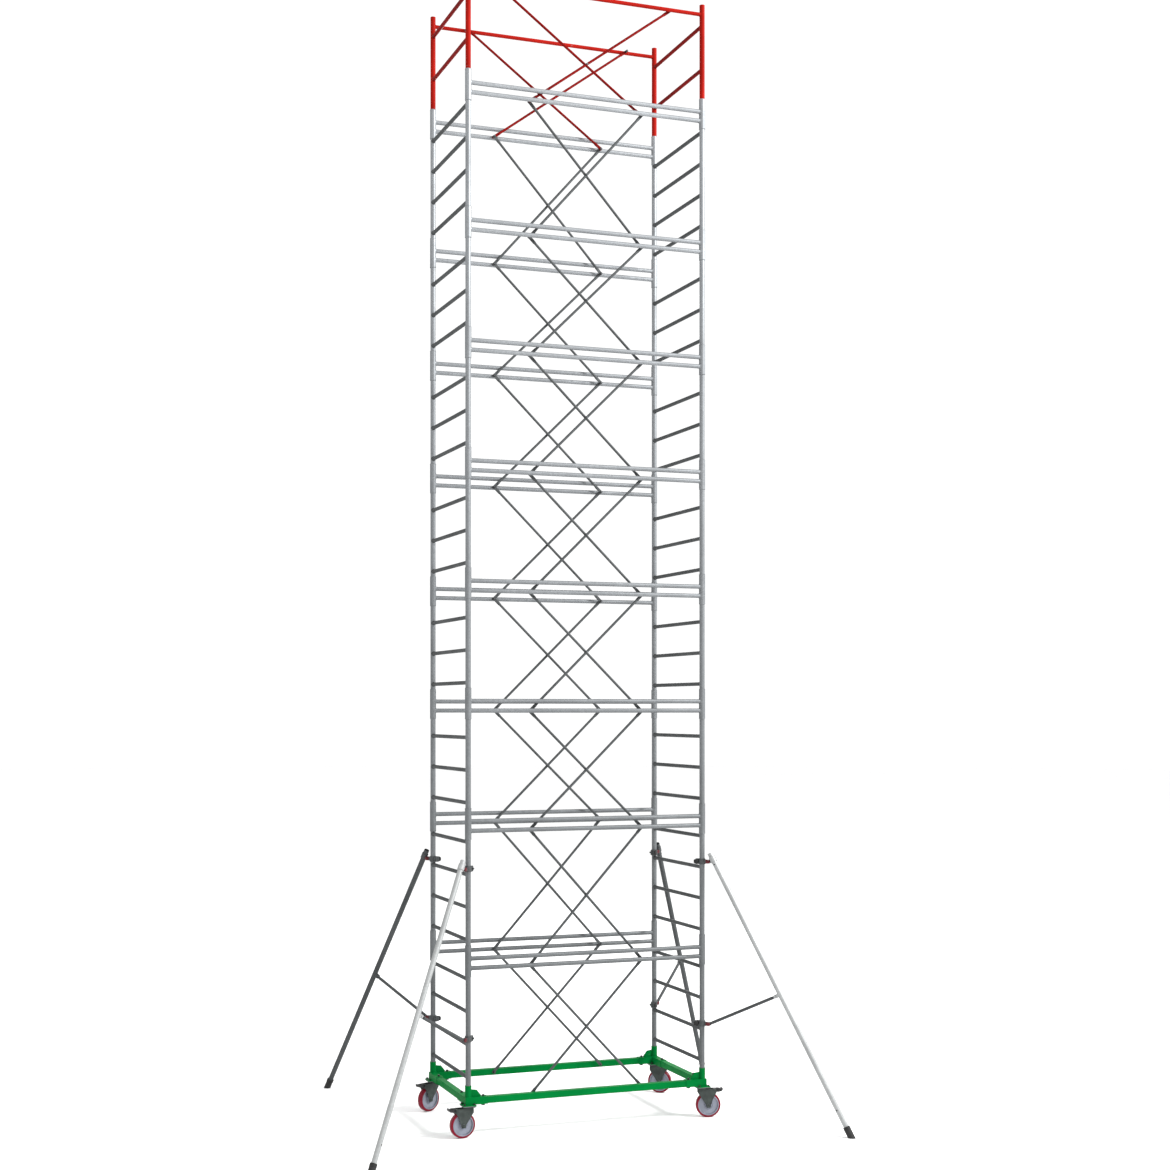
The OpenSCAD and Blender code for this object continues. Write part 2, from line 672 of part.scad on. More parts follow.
// Rubber foot over the tube's end, cut level with the ground
module stabiliser_foot(i) {
    cup = 70;
    color(black) at_stabiliser(i) difference() {
        on_tube() translate([0, 0, tube_len - cup]) cylinder(d = stab_d + 12, h = 2 * cup);
        on_tube() translate([0, 0, tube_len - 2 * cup]) cylinder(d = stab_d, h = 2 * cup);
        translate([tube_r0, -200, -400]) cube([2000, 400, 400]);
    }
}

// The strut: a tube with a solid eye at each end
module stabiliser_strut(i) {
    neck = 34;
    color(dark_steel) at_stabiliser(i) translate([pivot_r, 0, stab_low_z]) rotate([0, -strut_rise, 0])
        difference() {
            union() {
                tube_x(strut_d, 2, neck, strut_len - neck);
                for (x = [0, strut_len]) translate([x, 0, 0]) pivot_hole(eye_w - 6, eye_t);
                for (x = [0, strut_len - neck - 16]) translate([x, -eye_t / 2, -(strut_d - 3) / 2])
                    cube([neck + 16, eye_t, strut_d - 3]);
            }
            pivot_hole(pin_d + 2 * pin_clear, 4 * eye_w);
            translate([strut_len, 0, 0]) pivot_hole(pin_d + 2 * loose_clear, 4 * eye_w);
        }
}

ladder_posts(-1);  // ladder_posts_left
ladder_posts(1);  // ladder_posts_right
ladder_rungs(-1);  // ladder_rungs_left
ladder_rungs(1);  // ladder_rungs_right
joint_sleeves();
rails(-1);  // rails_front
rails(1);  // rails_rear
cross_braces(-1);  // cross_braces_front
cross_braces(1);  // cross_braces_rear
brace_studs();
brace_nuts();
brace_centre_bolts();
guard_posts();
guard_rungs();
guard_top_rails();
guard_braces();
base_beams_long();
base_beams_short();
base_bolts();
castor_top_plates();
for (i = [0 : 3]) {
    c = CORNERS[i];
    base_corner(i);
    castor_fork(i);
    wheel_hub(i);
    wheel_tyre(i);
    brake_pedal(i);
    stabiliser_clamp(i);
    stabiliser_tube(i);
    stabiliser_foot(i);
    stabiliser_strut(i);
    strut_clamp(i);
}
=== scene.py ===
"""Looks of the mobile tower scaffold: a finish for every part, and the welds, rims, brace necks, knobs,
wheel trims and rubber details that the parts carry. Metres, +Z up, X along the long sides."""

import json
import math

import bmesh
import bpy
from mathutils import Matrix, Vector


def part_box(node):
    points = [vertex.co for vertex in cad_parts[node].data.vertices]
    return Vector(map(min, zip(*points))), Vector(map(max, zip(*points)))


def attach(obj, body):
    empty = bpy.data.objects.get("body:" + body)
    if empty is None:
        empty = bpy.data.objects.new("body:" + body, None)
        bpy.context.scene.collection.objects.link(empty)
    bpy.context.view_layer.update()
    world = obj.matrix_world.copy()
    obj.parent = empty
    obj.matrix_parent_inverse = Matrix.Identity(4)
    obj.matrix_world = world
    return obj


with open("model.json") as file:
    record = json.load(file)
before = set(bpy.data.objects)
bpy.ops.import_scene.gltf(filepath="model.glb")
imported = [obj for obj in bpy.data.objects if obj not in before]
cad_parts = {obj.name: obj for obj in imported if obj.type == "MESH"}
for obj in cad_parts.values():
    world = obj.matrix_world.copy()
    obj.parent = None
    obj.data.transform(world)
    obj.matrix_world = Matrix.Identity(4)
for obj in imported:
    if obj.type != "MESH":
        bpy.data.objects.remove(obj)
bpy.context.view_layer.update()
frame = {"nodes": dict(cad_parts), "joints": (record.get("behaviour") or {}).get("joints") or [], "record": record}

CORNERS = ("fl", "fr", "rl", "rr")
FULL_TURN = 2 * math.pi


# ---- Sizes read from the frame ----

def centre(node):
    low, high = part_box(node)
    return (low + high) / 2


def size(node):
    low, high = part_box(node)
    return high - low


HALF_L = centre("ladder_rungs_right").x
HALF_W = centre("rails_rear").y
POST_R = size("ladder_posts_right").x / 2
SLEEVE_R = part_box("joint_sleeves")[1].x - HALF_L
RUNG_R = size("ladder_rungs_right").x / 2
RAIL_R = size("rails_rear").y / 2
JOINTS = {joint["name"]: joint for joint in frame["joints"]}

# Sizes of the parts that their boxes don't give. The braces' round part and flat ends:
BRACE_R = 0.010
TAB_T = 0.006
TAB_W = 0.024
# The stabilisers' long tube, its lean from the upright, the step from its pivot to its axis and the stretch
# of tube above that step
STAB_R = 0.021
STAB_LEAN = math.radians(30)
STAB_OFFSET = 0.041
STAB_HEAD = 0.055
# The clamps' ring, the place of their pinch bolt, their eyes and the outer faces of their ears
RING_R = 0.0273
RING_H = 0.044
PINCH_R = RING_R + 0.014
EYE_R = 0.015
EAR_OUT = 0.0113
# The outer faces of a castor's fork and the thickness of its tread
FORK_OUT = 0.032
TREAD_T = 0.016
# Edges sharper than this stay crisp in smooth shading
CREASE = math.radians(38)


def post(corner):
    """The ground point under a corner's post."""
    return Vector((-HALF_L if corner[1] == "l" else HALF_L, -HALF_W if corner[0] == "f" else HALF_W, 0))


def joint_place(name):
    return Vector(JOINTS[name]["pos_m"])


def reach(corner, joint):
    """The level distance from a corner's post to a joint."""
    return (joint_place(joint) - post(corner)).to_2d().length


def turned(place, out):
    """The frame whose X axis is the level direction out, with its origin at place."""
    return Matrix.Translation(place) @ Matrix.Rotation(math.atan2(out.y, out.x), 4, "Z")


def castor_frame(corner):
    """X points from the swivel axis to the wheel's trailing side, on the ground."""
    return turned(post(corner), joint_place("wheel_spin_" + corner) - post(corner))


def stabiliser_frame(corner):
    """X points out along the stabiliser, from the post's axis on the ground."""
    return turned(post(corner), joint_place("stabiliser_tilt_" + corner) - post(corner))


def tube_frame(corner):
    """Z runs down the long tube, from the point abreast of its upper pivot."""
    pivot = joint_place("stabiliser_tilt_" + corner)
    upright = turned(pivot, pivot - post(corner))
    tilt = Matrix.Rotation(math.pi - STAB_LEAN, 4, "Y")
    return upright @ tilt @ Matrix.Translation((-STAB_OFFSET, 0, 0))


# ---- Shader building ----

class Value:
    """A socket of a material's nodes that takes part in Python's arithmetic."""

    def __init__(self, finish, socket):
        self.finish = finish
        self.socket = socket

    def maths(self, operation, *terms):
        return self.finish.node("ShaderNodeMath", {"operation": operation}, dict(enumerate(terms)))

    def __add__(self, other):
        return self.maths("ADD", self, other)

    def __radd__(self, other):
        return self.maths("ADD", other, self)

    def __sub__(self, other):
        return self.maths("SUBTRACT", self, other)

    def __rsub__(self, other):
        return self.maths("SUBTRACT", other, self)

    def __mul__(self, other):
        return self.maths("MULTIPLY", self, other)

    def __rmul__(self, other):
        return self.maths("MULTIPLY", other, self)

    def over(self, edge, width):
        """0 below edge, 1 above edge + width, even between them."""
        settings = {"clamp": True}
        values = {"Value": self, "From Min": edge, "From Max": edge + width}
        return self.finish.node("ShaderNodeMapRange", settings, values)


class Finish:
    """A material with one Principled shader. constants are set on the shader's own sockets."""

    def __init__(self, name, **constants):
        self.material = bpy.data.materials.new(name)
        self.material.use_nodes = True
        self.nodes = self.material.node_tree.nodes
        self.shader = self.nodes["Principled BSDF"]
        for socket, value in constants.items():
            self.shader.inputs[socket.replace("_", " ")].default_value = value
        self.place = self.node("ShaderNodeTexCoord", {}, {}, "Object")

    def feed(self, socket, value):
        if isinstance(value, Value):
            self.material.node_tree.links.new(value.socket, socket)
        else:
            socket.default_value = value

    def node(self, kind, settings, values, output=0):
        """Adds a node, sets it up, feeds its sockets and returns one of its outputs."""
        made = self.nodes.new(kind)
        for setting, value in settings.items():
            setattr(made, setting, value)
        for socket, value in values.items():
            self.feed(made.inputs[socket], value)
        return Value(self, made.outputs[output])

    def scaled(self, x, y, z):
        return self.node("ShaderNodeMapping", {}, {"Vector": self.place, "Scale": (x, y, z)})

    def noise(self, scale, detail=3.0, place=None, rough=0.5):
        values = {"Vector": place or self.place, "Scale": scale, "Detail": detail, "Roughness": rough}
        return self.node("ShaderNodeTexNoise", {}, values)

    def cells(self, scale):
        """A random grey for each crystal of a fine cell pattern."""
        values = {"Vector": self.place, "Scale": scale}
        tints = self.node("ShaderNodeTexVoronoi", {}, values, "Color")
        return self.node("ShaderNodeSeparateColor", {}, {0: tints})

    def blend(self, share, one, other):
        """Colour one where share is 0 and other where it is 1."""
        settings = {"data_type": "RGBA"}
        return self.node("ShaderNodeMix", settings, {0: share, 6: one, 7: other}, 2)

    def bump(self, height, strength, distance):
        values = {"Height": height, "Strength": strength, "Distance": distance}
        self.paint("Normal", self.node("ShaderNodeBump", {}, values))

    def paint(self, socket, value):
        self.feed(self.shader.inputs[socket], value)


def colour(red, green, blue):
    return (red, green, blue, 1.0)


def grey(level):
    return colour(level, level, level)


def shade(base, factor):
    return colour(*[min(1.0, part * factor) for part in base[:3]])


# ---- Finishes ----

# Painted shade and painted light by height: the zinc is at its darkest below the first height, as painted shade,
# and gets paler over the second, as painted light
PAINTED_SHADE_BELOW = 0.6
PAINTED_LIGHT_OVER = 8.0


def zinc_coat(name, low, high, metal, spangle, streaks, roughness):
    """Hot-dip zinc, paler with height as painted light and darker low down as painted shade: crystals of different
    greys, dull patches, faint upright runs.
    """
    finish = Finish(name, Metallic=metal, Specular_IOR_Level=0.12, Specular_Tint=grey(0.2))
    height = finish.node("ShaderNodeSeparateXYZ", {}, {0: finish.place}, "Z")
    # Painted light: the height share that fades from the painted-shade colour low down to the painted-light colour
    # high up
    rise = height.over(PAINTED_SHADE_BELOW, PAINTED_LIGHT_OVER)
    crystals = finish.cells(spangle)
    patches = finish.noise(3.1, 4.0)
    runs = finish.noise(5.0, 3.0, finish.scaled(9, 9, 0.8))
    dull = patches.over(0.42, 0.25)
    tone = crystals * 0.4 + runs * streaks
    # Lit and shaded copies of the zinc by height: the low colour is painted shade, the high colour painted light
    painted_shade_lower, painted_light_upper = (finish.blend(tone, shade(base, 0.78), shade(base, 1.22)) for base in (low, high))
    clean = finish.blend(rise, painted_shade_lower, painted_light_upper)
    # The dull patches take the same painted shade low down and painted light high up
    dulled = finish.blend(rise, shade(low, 0.68), shade(high, 0.75))
    finish.paint("Base Color", finish.blend(dull * 0.5, clean, dulled))
    finish.paint("Roughness", crystals * 0.10 + dull * 0.12 + roughness)
    finish.bump(crystals * 0.5 + finish.noise(420.0, 2.0), 0.12, 0.0006)
    return finish.material


def gloss_paint(name, base, chip_scale):
    """Enamel with a soft orange peel, faded patches, dust and small chips down to primer."""
    finish = Finish(name, IOR=1.5, Specular_IOR_Level=0.02)
    fade = finish.noise(2.3, 4.0)
    chips = finish.noise(chip_scale, 6.0, rough=0.72).over(0.68, 0.02)
    dirt = finish.noise(14.0, 5.0).over(0.52, 0.30)
    body = finish.blend(fade.over(0.35, 0.35), shade(base, 0.82), shade(base, 1.15))
    dusty = finish.blend(dirt * 0.25, body, shade(base, 0.55))
    finish.paint("Base Color", finish.blend(chips, dusty, colour(0.19, 0.18, 0.17)))
    finish.paint("Roughness", dirt * 0.16 + chips * 0.25 + 0.42)
    finish.bump(finish.noise(260.0, 2.0) - chips * 1.5, 0.10, 0.0005)
    return finish.material


def plated_steel(name, base, roughness):
    """Zinc plate on pressed steel, dulled by dust and rubbed on its faces."""
    finish = Finish(name, Metallic=0.5, Specular_IOR_Level=0.15, Specular_Tint=grey(0.3))
    film = finish.noise(22.0, 4.0)
    rub = finish.noise(9.0, 3.0, finish.scaled(1, 1, 14))
    finish.paint("Base Color", finish.blend(film.over(0.35, 0.4), shade(base, 0.7), shade(base, 1.15)))
    finish.paint("Roughness", film * 0.22 + rub * 0.10 + roughness)
    finish.bump(finish.noise(600.0, 2.0), 0.06, 0.0003)
    return finish.material


def black_steel(name):
    """Black powder coat, greyed by dust in the low spots and worn to steel in tiny specks."""
    finish = Finish(name, IOR=1.5, Specular_IOR_Level=0.3)
    dust = finish.noise(26.0, 5.0).over(0.45, 0.35)
    specks = finish.noise(130.0, 4.0, rough=0.7).over(0.70, 0.03)
    coat = finish.blend(dust * 0.4, colour(0.012, 0.012, 0.013), colour(0.060, 0.058, 0.055))
    finish.paint("Base Color", finish.blend(specks, coat, grey(0.22)))
    finish.paint("Metallic", specks * 0.8)
    finish.paint("Roughness", dust * 0.2 + 0.42)
    finish.bump(finish.noise(500.0, 2.0), 0.15, 0.0004)
    return finish.material


def tread_polyurethane(name):
    """Cast red polyurethane, scuffed dull and grey where it rolls."""
    finish = Finish(name, IOR=1.48, Specular_IOR_Level=0.15)
    scuffs = finish.noise(55.0, 6.0, rough=0.7).over(0.50, 0.25)
    cloud = finish.noise(7.0, 3.0)
    base = colour(0.155, 0.001, 0.012)
    rich = finish.blend(cloud, shade(base, 0.75), shade(base, 1.25))
    finish.paint("Base Color", finish.blend(scuffs * 0.35, rich, colour(0.20, 0.07, 0.07)))
    finish.paint("Roughness", scuffs * 0.30 + 0.28)
    finish.bump(scuffs + finish.noise(240.0, 3.0), 0.12, 0.0006)
    return finish.material


def cast_disc(name):
    """Cast aluminium wheel disc: bluish grey skin with a fine grain and rubbed high spots."""
    finish = Finish(name, Metallic=0.45)
    grain = finish.noise(340.0, 3.0)
    stain = finish.noise(16.0, 4.0)
    base = colour(0.22, 0.235, 0.285)
    finish.paint("Base Color", finish.blend(stain.over(0.3, 0.5), shade(base, 0.82), shade(base, 1.18)))
    finish.paint("Roughness", stain * 0.15 + 0.36)
    finish.bump(grain, 0.10, 0.0005)
    return finish.material


def moulded(name, base, roughness, grain):
    """Moulded rubber or plastic with a sanded grain, greyed here and there by handling."""
    finish = Finish(name, IOR=1.5, Specular_IOR_Level=0.3)
    dust = finish.noise(32.0, 5.0).over(0.45, 0.35)
    finish.paint("Base Color", finish.blend(dust * 0.5, base, shade(base, 2.4)))
    finish.paint("Roughness", dust * 0.15 + roughness)
    finish.bump(finish.noise(grain, 3.0), 0.2, 0.0005)
    return finish.material


FINISHES = {
    # The low colour of the tube zinc is painted shade and its much paler high colour painted light
    "galvanised_tube": zinc_coat(
        "galvanised_tube", low=colour(0.125, 0.132, 0.136), high=colour(0.31, 0.325, 0.34),
        metal=0.40, spangle=110.0, streaks=0.5, roughness=0.36),
    # The darker zinc of the rungs, braces and rear stabiliser tubes is painted shade
    "dark_galvanised": zinc_coat(
        "painted_shade_tube", low=colour(0.075, 0.080, 0.082), high=colour(0.082, 0.087, 0.089),
        metal=0.30, spangle=90.0, streaks=0.5, roughness=0.44),
    "zinc_fittings": plated_steel("zinc_plated_steel", colour(0.13, 0.14, 0.145), roughness=0.36),
    "green_paint": gloss_paint("green_enamel", colour(0.0, 0.140, 0.026), chip_scale=30.0),
    "red_paint": gloss_paint("red_enamel", colour(0.30, 0.010, 0.006), chip_scale=24.0),
    "black_steel": black_steel("black_steel"),
    "tread": tread_polyurethane("red_polyurethane"),
    "wheel_disc": cast_disc("cast_disc"),
    "black_rubber": moulded("black_rubber", grey(0.014), roughness=0.62, grain=380.0),
}

# Finishes of single parts, which differ from what the rest of their slot wears
COUPLER_PLASTIC = moulded("dark_red_plastic", colour(0.075, 0.004, 0.008), roughness=0.38, grain=300.0)
# The front stabiliser tubes wear a paler copy of the zinc as painted light
PAINTED_LIGHT_TUBE = zinc_coat(
    "painted_light_zinc_tube", low=colour(0.36, 0.37, 0.37), high=colour(0.46, 0.47, 0.47),
    metal=0.30, spangle=150.0, streaks=0.4, roughness=0.34)
DARK_RED = gloss_paint("dark_red_enamel", colour(0.17, 0.006, 0.005), chip_scale=24.0)
DARK_STEEL = plated_steel("dull_plated_steel", colour(0.060, 0.070, 0.066), roughness=0.42)
OWN_FINISH = {"guard_braces": DARK_RED, "guard_rungs": DARK_RED}
for corner in CORNERS:
    front = corner[0] == "f"
    # Front tubes get the pale zinc as painted light, rear tubes the darker zinc as painted shade
    OWN_FINISH["stabiliser_tube_" + corner] = PAINTED_LIGHT_TUBE if front else FINISHES["dark_galvanised"]
    OWN_FINISH["castor_fork_" + corner] = DARK_STEEL

for part in frame["record"]["subparts"]:
    node = frame["nodes"][part["node"]]
    node.data.materials.clear()
    node.data.materials.append(OWN_FINISH.get(part["node"], FINISHES[part["material_slot"]]))


# ---- Shape building ----

def stamp(bm, mesh, matrix):
    """Adds a copy of a small mesh to bm at the place that matrix gives."""
    start = len(bm.verts)
    bm.from_mesh(mesh)
    bm.verts.ensure_lookup_table()
    bmesh.ops.transform(bm, matrix=matrix, verts=bm.verts[start:])


def stored(bm, name):
    """The bmesh as a mesh that is stamped many times."""
    bmesh.ops.recalc_face_normals(bm, faces=bm.faces)
    mesh = bpy.data.meshes.new(name)
    bm.to_mesh(mesh)
    bm.free()
    return mesh


def piece(name, bm, body, slot, material=None):
    """Makes a bmesh a shown piece that rides on a body and wears a material, or else its slot's finish."""
    mesh = bpy.data.meshes.new(name)
    bm.to_mesh(mesh)
    bm.free()
    mesh.polygons.foreach_set("use_smooth", [True] * len(mesh.polygons))
    mesh.set_sharp_from_angle(angle=CREASE)
    mesh.materials.append(material or FINISHES[slot])
    made = bpy.data.objects.new(name, mesh)
    bpy.context.scene.collection.objects.link(made)
    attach(made, body)
    return made


def spun(outline, steps):
    """An outline of (radius, height) points, spun about Z. It closes into a ring, or ends on the axis."""
    bm = bmesh.new()
    verts = [bm.verts.new((r, 0, z)) for r, z in outline]
    edges = [bm.edges.new((a, b)) for a, b in zip(verts, verts[1:])]
    closed = outline[0][0] > 0 and outline[-1][0] > 0
    if closed:
        edges.append(bm.edges.new((verts[-1], verts[0])))
    bmesh.ops.spin(bm, geom=verts + edges, axis=(0, 0, 1), cent=(0, 0, 0), angle=FULL_TURN, steps=steps,
                   use_merge=True, use_duplicate=False)
    bmesh.ops.remove_doubles(bm, verts=bm.verts, dist=1e-6)
    return bm


def ring(radius, thick, sides, steps):
    """A ring of round section about Z."""
    turn = FULL_TURN / sides
    outline = [(radius + thick * math.cos(turn * i), thick * math.sin(turn * i)) for i in range(sides)]
    return spun(outline, steps)


def block(x, y, z, edge, segments=2):
    """A box of the given sides about the origin, with rounded edges."""
    bm = bmesh.new()
    bmesh.ops.create_cube(bm, size=1, matrix=Matrix.Diagonal((x, y, z, 1)))
    bmesh.ops.bevel(bm, geom=bm.edges[:], offset=edge, affect="EDGES", segments=segments, profile=0.5,
                    material=-1)
    return bm


def solids(node):
    """The vertex positions of each separate solid in a CAD node, lowest solid first."""
    bm = bmesh.new()
    bm.from_mesh(frame["nodes"][node].data)
    bmesh.ops.remove_doubles(bm, verts=bm.verts, dist=1e-6)
    left = set(bm.verts)
    found = []
    while left:
        reached = [left.pop()]
        for vert in reached:
            joined = {edge.other_vert(vert) for edge in vert.link_edges} & left
            left -= joined
            reached.extend(joined)
        found.append([vert.co.copy() for vert in reached])
    bm.free()
    return sorted(found, key=lambda points: min((p.z, p.x, p.y) for p in points))


def middle(points):
    """The centre of the box of some points."""
    low = Vector([min(p[axis] for p in points) for axis in range(3)])
    high = Vector([max(p[axis] for p in points) for axis in range(3)])
    return (low + high) / 2


# ---- Welds and rims on the tower ----

def weld_bead(tube_r, post_r):
    """A fillet bead round a tube along X, shaped to the upright tube of radius post_r that it meets."""
    ripple_height = 0.0004
    ripples = 9
    bm = ring(tube_r + 0.0008, 0.0032, 5, 18)
    bmesh.ops.rotate(bm, verts=bm.verts, cent=(0, 0, 0), matrix=Matrix.Rotation(math.pi / 2, 3, "Y"))
    for vert in bm.verts:
        ripple = ripple_height * math.sin(ripples * math.atan2(vert.co.z, vert.co.y))
        vert.co.x += math.sqrt(max(0.0, post_r**2 - vert.co.y**2)) + 0.0006 + ripple
    return stored(bm, "weld_bead")


def cross_tube_welds(name, nodes, tube_r, post_r, slot):
    """Beads at both ends of every level tube in some nodes, where it meets the posts or sleeves."""
    bead = weld_bead(tube_r, post_r)
    bm = bmesh.new()
    for node in nodes:
        for points in solids(node):
            mid = middle(points)
            along_x = max(p.x for p in points) > HALF_L / 2 > min(p.x for p in points)
            for end in (-1, 1):
                if along_x:
                    spot = Vector((end * HALF_L, mid.y, mid.z))
                    inward = Vector((-end, 0, 0))
                else:
                    spot = Vector((mid.x, end * HALF_W, mid.z))
                    inward = Vector((0, -end, 0))
                stamp(bm, bead, turned(spot, inward))
    piece(name, bm, "tower", slot)


def sleeve_rims():
    """A rolled lip round both ends of each sleeve."""
    thick = 0.0022
    lip = stored(ring(SLEEVE_R - 0.0008, thick, 6, 28), "lip")
    bm = bmesh.new()
    for points in solids("joint_sleeves"):
        mid = middle(points)
        for z in (min(p.z for p in points), max(p.z for p in points)):
            inner = z + math.copysign(thick, mid.z - z)
            stamp(bm, lip, Matrix.Translation((mid.x, mid.y, inner)))
    piece("sleeve_rims", bm, "tower", "galvanised_tube")


def guard_post_caps():
    """A low domed plug in the top of each guard post."""
    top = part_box("guard_posts")[1].z
    plug = spun([(0, 0.0), (0.006, -0.0003), (0.013, -0.0015), (0.018, -0.004), (0.0182, -0.02),
                 (0, -0.02)], 32)
    cap = stored(plug, "cap")
    bm = bmesh.new()
    for corner in CORNERS:
        stamp(bm, cap, Matrix.Translation(post(corner) + Vector((0, 0, top))))
    piece("guard_post_caps", bm, "tower", "red_paint")


# ---- Brace ends ----

def neck_mesh():
    """The flattened stretch between a round brace and its flat end, along Z from the end's pin."""
    start = 0.030
    length = 0.040
    steps = 5
    flat_w = TAB_W / 2 + 0.0002
    flat_t = TAB_T / 2 + 0.0004
    round_w = BRACE_R + 0.0005
    round_t = BRACE_R + 0.0003
    squareness = 0.35
    bm = bmesh.new()
    circle = bmesh.ops.create_circle(bm, cap_ends=True, segments=20, radius=1.0,
                                     matrix=Matrix.Translation((0, 0, start)))
    edges = list({edge for vert in circle["verts"] for edge in vert.link_edges})
    for _ in range(steps):
        grown = bmesh.ops.extrude_edge_only(bm, edges=edges)["geom"]
        verts = [item for item in grown if isinstance(item, bmesh.types.BMVert)]
        edges = [item for item in grown if isinstance(item, bmesh.types.BMEdge)
                 and all(vert in verts for vert in item.verts)]
        bmesh.ops.translate(bm, verts=verts, vec=(0, 0, length / steps))
    bmesh.ops.contextual_create(bm, geom=edges)
    for vert in bm.verts:
        share = (vert.co.z - start) / length
        round_part = share * share * (3 - 2 * share)
        half_w = flat_w + (round_w - flat_w) * round_part
        half_t = flat_t + (round_t - flat_t) * round_part
        power = squareness + (1 - squareness) * round_part
        vert.co.x = half_w * math.copysign(abs(vert.co.x) ** power, vert.co.x)
        vert.co.y = half_t * math.copysign(abs(vert.co.y) ** power, vert.co.y)
    return stored(bm, "neck")


def brace_necks(name, node, slot, neck, material=None):
    """A neck at each end of every brace in a node, lying along the brace."""
    end_zone = 0.01
    bm = bmesh.new()
    for points in solids(node):
        mid = middle(points)
        low = min(p.z for p in points)
        lean = 1 if sum(p.x for p in points if p.z < low + end_zone) < mid.x else -1
        half_x = (max(p.x for p in points) - min(p.x for p in points) - TAB_W) / 2
        half_z = (max(p.z for p in points) - low - TAB_W) / 2
        for end in (-1, 1):
            spot = mid + Vector((end * lean * half_x, 0, end * half_z))
            along = (mid - spot).normalized()
            turn = Matrix.Rotation(math.atan2(along.x, along.z), 4, "Y")
            stamp(bm, neck, Matrix.Translation(spot) @ turn)
    piece(name, bm, "tower", slot, material)


# ---- Base corners ----

def corner_welds(corner):
    """Beads where the post socket stands on the beam sockets and round its mouth."""
    lip_thick = 0.0025
    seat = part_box("base_beams_long")[1].z + 0.0035
    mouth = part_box("base_corner_" + corner)[1].z - lip_thick
    foot_bead = stored(ring(SLEEVE_R + 0.001, 0.004, 6, 36), "foot_bead")
    mouth_lip = stored(ring(SLEEVE_R - 0.001, lip_thick, 6, 36), "mouth_lip")
    bm = bmesh.new()
    for bead, height in ((foot_bead, seat), (mouth_lip, mouth)):
        stamp(bm, bead, Matrix.Translation(post(corner) + Vector((0, 0, height))))
    piece("corner_welds_" + corner, bm, "tower", "green_paint")


# ---- Castors ----

def wheel_trim(corner):
    """A raised rim and a step round the hub on both faces of the wheel disc."""
    rim_r = size("wheel_tyre_" + corner).z / 2 - TREAD_T
    hub_r = 0.037
    rim_face = 0.0228
    hub_face = 0.0112
    axle = Vector(JOINTS["wheel_spin_" + corner]["axis"])
    turn = axle.to_track_quat("Z", "Y").to_matrix().to_4x4()
    place = Matrix.Translation(joint_place("wheel_spin_" + corner)) @ turn
    bm = bmesh.new()
    lip = stored(ring(rim_r - 0.004, 0.0025, 8, 64), "rim_lip")
    step = stored(ring(hub_r, 0.0026, 8, 56), "hub_step")
    for side in (0, math.pi):
        face = place @ Matrix.Rotation(side, 4, "X")
        stamp(bm, lip, face @ Matrix.Translation((0, 0, rim_face)))
        stamp(bm, step, face @ Matrix.Translation((0, 0, hub_face)))
    piece("wheel_trim_" + corner, bm, "wheel_" + corner, "wheel_disc")


def swivel_seal(corner):
    """The black dust seal between the top plate and the fork."""
    race_r = 0.0405
    height = joint_place("swivel_" + corner).z + 0.0085
    bm = bmesh.new()
    stamp(bm, stored(ring(race_r, 0.0028, 8, 48), "seal"), Matrix.Translation((0, 0, height)))
    bmesh.ops.transform(bm, matrix=castor_frame(corner), verts=bm.verts)
    piece("swivel_seal_" + corner, bm, "castor_" + corner, "black_rubber")


def castor_trim(corner):
    """Washers under the axle bolt's head and nut, and a grease nipple on the swivel head."""
    axle_z = joint_place("wheel_spin_" + corner).z
    trail = reach(corner, "wheel_spin_" + corner)
    nipple_spot = (-0.040, 0, joint_place("swivel_" + corner).z + 0.005)
    washer = stored(spun([(0.0062, 0), (0.0125, 0), (0.0130, 0.0006), (0.0125, 0.0018), (0.0062, 0.0018)],
                         28), "washer")
    nipple = stored(spun([(0, 0.014), (0.0018, 0.0135), (0.0022, 0.011), (0.0016, 0.008), (0.0035, 0.006),
                          (0.0038, 0), (0, 0)], 14), "nipple")
    bm = bmesh.new()
    for side in (-1, 1):
        outward = Matrix.Rotation(-side * math.pi / 2, 4, "X")
        stamp(bm, washer, Matrix.Translation((trail, side * FORK_OUT, axle_z)) @ outward)
    stamp(bm, nipple, Matrix.Translation(nipple_spot) @ Matrix.Rotation(-math.pi / 2, 4, "Y"))
    bmesh.ops.transform(bm, matrix=castor_frame(corner), verts=bm.verts)
    piece("castor_trim_" + corner, bm, "castor_" + corner, "zinc_fittings")


def pedal_grip(corner):
    """A ribbed rubber pad on the brake pedal's tread."""
    ribs = 7
    spacing = 0.0040
    rise = 0.0026
    out = reach(corner, "brake_" + corner) + 0.026
    height = joint_place("brake_" + corner).z + 0.0118
    bm = block(0.030, 0.046, 0.0040, 0.0012)
    rib = stored(block(0.0022, 0.042, 0.0022, 0.0006, 1), "rib")
    for i in range(ribs):
        stamp(bm, rib, Matrix.Translation(((i - ribs // 2) * spacing, 0, rise)))
    slope = Matrix.Rotation(-math.radians(2.6), 4, "Y")
    place = Matrix.Translation((out, 0, height)) @ slope
    bmesh.ops.transform(bm, matrix=castor_frame(corner) @ place, verts=bm.verts)
    piece("pedal_grip_" + corner, bm, "pedal_" + corner, "black_rubber")


# ---- Stabilisers ----

